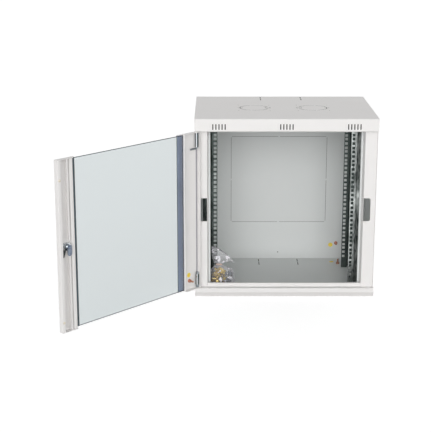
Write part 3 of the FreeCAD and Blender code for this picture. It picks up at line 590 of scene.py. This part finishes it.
def makeBagFilm():
    low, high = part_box("screw_kit_bag")
    foot = middle("screw_kit_bag")
    foot.z = low[2]
    sleeve = bmesh.new()
    rings = []
    for rise, right, back, width, depth in bag["rings"]:
        ring = bmesh.ops.create_circle(sleeve, segments=bag["segments"], radius=0.5)["verts"]
        bmesh.ops.scale(sleeve, verts=ring, vec=(width / 1000, depth / 1000, 1.0))
        bmesh.ops.translate(sleeve, verts=ring, vec=foot + Vector((right, back, rise)) / 1000)
        rings.append(list(dict.fromkeys(e for v in ring for e in v.link_edges)))
    for lower, upper in zip(rings, rings[1:]):
        bmesh.ops.bridge_loops(sleeve, edges=lower + upper)
    for end in (rings[0], rings[-1]):
        bmesh.ops.contextual_create(sleeve, geom=end)
    steep = [e for e in sleeve.edges if abs(e.verts[0].co.z - e.verts[1].co.z) > bag["divideMm"] / 1000]
    bmesh.ops.subdivide_edges(sleeve, edges=steep, cuts=2)
    bmesh.ops.recalc_face_normals(sleeve, faces=sleeve.faces)

    tieHeight = foot.z + bag["tieMm"] / 1000
    top = (high[0], high[1], high[2] + bag["proudMm"] / 1000)
    finer, fineShare = bag["fineCrumple"]
    crumple = 1000 / bag["crumpleMm"]
    for vert in sleeve.verts:
        place = vert.co
        above = min(1.0, max(0.0, (place.z - tieHeight) * 1000 / bag["gatherMm"]))
        sag = noise.noise(place * crumple) + fineShare * noise.noise(place * crumple * finer)
        phase = acrossMouth(place, foot) * math.pi * bag["pleats"] + bag["pleatWander"] * sag
        place -= vert.normal * max(0.0, bag["sagMm"] / 1000 * (bag["sagFrom"] - sag) * (1 - above))
        place.y += math.sin(phase) * bag["pleatMm"] / 1000 * above
        slope = max(0.0, acrossMouth(place, foot) + 0.5) ** bag["crestPower"]
        climb = max(0.0, (place.z - tieHeight) * 1000 / bag["crestRiseMm"])
        place.z -= above * bag["crestDropMm"] / 1000 * slope * climb
        for axis in range(3):
            place[axis] = min(max(place[axis], low[axis]), top[axis])
    piece = finishPiece(sleeve, "screw_kit_film", "cabinet", finishes["clear_polythene"],
                        smooth=True)
    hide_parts("screw_kit_bag")
    return foot


# the fixings lie in three heaps: across and deep are shares of the bag's width and depth, from its middle
kit = {
    "seed": 7,
    "spaceMm": 5.6,         # nearest that two middles may lie
    "filmGapMm": (9.0, 8.0),        # from a middle to the film at the sides, and to the front and back
    "ringBelowMm": 12.0,    # the first ring no more than this far below a spot gives its room
    "tries": 4000,
}


def scatter(foot, heap, taken, chance):
    spots = []
    tries = 0
    sideGap, frontGap = kit["filmGapMm"]
    while len(spots) < heap["count"] and tries < kit["tries"]:
        tries += 1
        rise = chance.uniform(*heap["heightMm"])
        level = rise - kit["ringBelowMm"]
        width, depth = next((ring[3], ring[4]) for ring in bag["rings"] if ring[0] >= level)
        right = chance.uniform(*heap["across"]) * width
        back = chance.uniform(*heap["deep"]) * depth
        spot = foot + Vector((right, back, rise)) / 1000
        inside = (right / (width / 2 - sideGap)) ** 2 + (back / (depth / 2 - frontGap)) ** 2 < 1
        if inside and all((spot - other).length > kit["spaceMm"] / 1000 for other in taken):
            spots.append(spot)
            taken.append(spot)
    return spots


def addTurned(pile, make, spot, chance):
    before = set(pile.verts)
    make(pile)
    fresh = [v for v in pile.verts if v not in before]
    turn = Euler([chance.uniform(0, 2 * math.pi) for i in range(3)]).to_matrix().to_4x4()
    bmesh.ops.transform(pile, verts=fresh, matrix=Matrix.Translation(spot) @ turn)


# black plastic cup washers
washers = {
    "count": 14,
    "heightMm": (26, 35),
    "across": (-0.42, 0.42),
    "deep": (-0.34, -0.28),
    "outerMm": 13.0,
    "innerMm": 6.4,
    "thickMm": 1.4,
    "sides": 20,
}


def makeWasher(pile):
    edges = {}
    for size in ("outerMm", "innerMm"):
        ring = bmesh.ops.create_circle(pile, segments=washers["sides"], radius=washers[size] / 2000)["verts"]
        edges.update(dict.fromkeys(e for v in ring for e in v.link_edges))
    flat = bmesh.ops.bridge_loops(pile, edges=list(edges))["faces"]
    thicken(pile, flat, (0, 0, washers["thickMm"] / 1000))


# M6 screws for the cage nuts
screws = {
    "count": 50,
    "heightMm": (20, 72),
    "across": (-0.46, 0.04),
    "deep": (-0.34, 0.30),
    "threadMm": 6.0,
    "lengthMm": 15.0,
    "headMm": 11.0,
    "headTopMm": 7.92,
    "headHeightMm": 4.2,
    "threadSides": 10,
    "headSides": 14,
}


def makeScrew(pile):
    thread, length, head, headTop, height = [
        screws[size] / 1000 for size in ("threadMm", "lengthMm", "headMm", "headTopMm", "headHeightMm")]
    bmesh.ops.create_cone(pile, segments=screws["threadSides"], radius1=thread / 2, radius2=thread / 2,
                          depth=length, cap_ends=True)
    cap = bmesh.ops.create_cone(pile, segments=screws["headSides"], radius1=head / 2, radius2=headTop / 2,
                                depth=height, cap_ends=True)["verts"]
    bmesh.ops.translate(pile, verts=cap, vec=(0, 0, (length + height) / 2))


# cage nuts: a square nut in a sprung cage, whose two ears hold it in a rail
cageNuts = {
    "count": 46,
    "heightMm": (12, 64),
    "across": (-0.12, 0.46),
    "deep": (-0.34, 0.30),
    "cageMm": (12.0, 11.0, 1.2),        # across, along and thick
    "nutMm": (7.92, 7.92, 6.0),
    "earMm": (1.0, 6.6, 4.8),
    "earAtMm": (5.4, 0.0, -1.8),        # the right one's middle, from the middle of the cage
}


def addBlock(pile, sizeMm, placeMm=(0.0, 0.0, 0.0)):
    block = bmesh.ops.create_cube(pile, size=1.0)["verts"]
    bmesh.ops.scale(pile, verts=block, vec=Vector(sizeMm) / 1000)
    bmesh.ops.translate(pile, verts=block, vec=Vector(placeMm) / 1000)


def makeCageNut(pile):
    addBlock(pile, cageNuts["cageMm"])
    addBlock(pile, cageNuts["nutMm"], (0.0, 0.0, cageNuts["nutMm"][2] / 2))
    right, back, rise = cageNuts["earAtMm"]
    for side in (-1, 1):
        addBlock(pile, cageNuts["earMm"], (side * right, back, rise))


# rubber band round the bag's neck
tie = {
    "acrossMm": 19.0,
    "deepMm": 13.0,
    "thickMm": 3.0,
    "strandSides": 10,
    "turnSteps": 36,
}


def makeTie(foot):
    rise, right, back = next(ring[:3] for ring in bag["rings"] if ring[0] == bag["tieMm"])
    band = bmesh.new()
    strand = bmesh.ops.create_circle(band, segments=tie["strandSides"], radius=tie["thickMm"] / 2000)["verts"]
    bmesh.ops.rotate(band, verts=strand, matrix=Matrix.Rotation(math.pi / 2, 3, "X"))
    bmesh.ops.translate(band, verts=strand, vec=(tie["acrossMm"] / 2000, 0, 0))
    bmesh.ops.spin(band, geom=band.edges[:], axis=(0, 0, 1), cent=(0, 0, 0), angle=2 * math.pi,
                   steps=tie["turnSteps"], use_merge=True)
    bmesh.ops.scale(band, verts=band.verts, vec=(1.0, tie["deepMm"] / tie["acrossMm"], 1.0))
    bmesh.ops.translate(band, verts=band.verts, vec=foot + Vector((right, back, rise)) / 1000)
    finishPiece(band, "kit_bag_tie", "cabinet", makeSmallPart("tieBand"), smooth=True)


foot = makeBagFilm()
chance = random.Random(kit["seed"])
taken = []
for name, make, finish, heap in (("kit_washers", makeWasher, "blackWasher", washers),
                                 ("kit_screws", makeScrew, "yellowZinc", screws),
                                 ("kit_cage_nuts", makeCageNut, "plainSteel", cageNuts)):
    pile = bmesh.new()
    for spot in scatter(foot, heap, taken, chance):
        addTurned(pile, make, spot, chance)
    finishPiece(pile, name, "cabinet", makeSmallPart(finish))
makeTie(foot)
print("bag and kit made:", len(taken), "fixings")

# plain floor and studio light
studio = {
    "floorSize": 60.0,
    "floorDropMm": 0.5,     # clear of the underside
    "floorColour": "#DCDCDC",
    "floorGlow": 0.63,      # lifts the floor to white for the eye, glass and metal, and keeps the shadow
    "white": "#FFFFFF",
    "horizon": 1.42,
    "zenith": 0.06,
    "key": 1.64,
    "keyAngle": 46.0,
    "keyFrom": (-0.05, -0.97, 0.13),
}
floorMesh = bmesh.new()
bmesh.ops.create_grid(floorMesh, x_segments=1, y_segments=1, size=studio["floorSize"] / 2)
floorData = bpy.data.meshes.new("studioFloor")
floorMesh.to_mesh(floorData)
floorMesh.free()
floor = bpy.data.objects.new("studioFloor", floorData)
floor.location.z = -studio["floorDropMm"] / 1000
bpy.context.scene.collection.objects.link(floor)


def whiteSeen(tree):
    # 1 for rays that come from the eye, through glass or off metal, which see a white studio
    rays = addNode(tree, "LightPath").outputs
    eye = addNode(tree, "Math", {
        0: rays["Is Camera Ray"], 1: rays["Is Transmission Ray"]}, operation="MAXIMUM")
    seen = addNode(tree, "Math", {0: eye.outputs[0], 1: rays["Is Glossy Ray"]}, operation="MAXIMUM")
    return seen.outputs[0]


floorPaint, tree = newMaterial("paleFloor")
matte = addNode(tree, "BsdfDiffuse", {"Color": linear(studio["floorColour"])})
lift = addNode(tree, "Math", {0: whiteSeen(tree), 1: studio["floorGlow"]}, operation="MULTIPLY")
glow = addNode(tree, "Emission", {"Color": linear(studio["white"]), "Strength": lift.outputs[0]})
both = addNode(tree, "AddShader", {0: matte.outputs[0], 1: glow.outputs[0]})
addNode(tree, "OutputMaterial", {"Surface": both.outputs[0]})
floorData.materials.append(floorPaint)

world = bpy.data.worlds.new("studioWorld")
bpy.context.scene.world = world
world.use_nodes = True
tree = world.node_tree
tree.nodes.clear()
heading = addNode(tree, "TexCoord").outputs["Generated"]
rise = addNode(tree, "SeparateXYZ", {0: heading}).outputs["Z"]
dome = addNode(tree, "MapRange", {
    "Value": rise, "From Min": 0.0, "From Max": 1.0, "To Min": studio["horizon"], "To Max": studio["zenith"]})
level = addNode(tree, "Mix", {0: whiteSeen(tree), 2: dome.outputs["Result"], 3: 1.0})
sky = addNode(tree, "Background", {"Color": linear(studio["white"]), "Strength": level.outputs[0]})
addNode(tree, "OutputWorld", {"Surface": sky.outputs[0]})

sunData = bpy.data.lights.new("softKey", "SUN")
sunData.energy = studio["key"]
sunData.angle = math.radians(studio["keyAngle"])
sun = bpy.data.objects.new("softKey", sunData)
sun.rotation_euler = Vector(studio["keyFrom"]).to_track_quat("Z", "Y").to_euler()
bpy.context.scene.collection.objects.link(sun)

view = {
    "place": (-0.2304, -3.9662, 1.2937),
    "pitch": 0.2633,        # downwards; both turns are in radians
    "yaw": -0.0002,
    "lens": 97.74,
    "sensor": 36.0,
}
cameraData = bpy.data.cameras.new("camera")
cameraData.lens = view["lens"]
cameraData.sensor_width = view["sensor"]
camera = bpy.data.objects.new("camera", cameraData)
camera.location = view["place"]
camera.rotation_euler = (math.pi / 2 - view["pitch"], 0.0, view["yaw"])
bpy.context.scene.collection.objects.link(camera)
bpy.context.scene.camera = camera
bpy.context.scene.view_settings.view_transform = "Standard"
print("studio set")
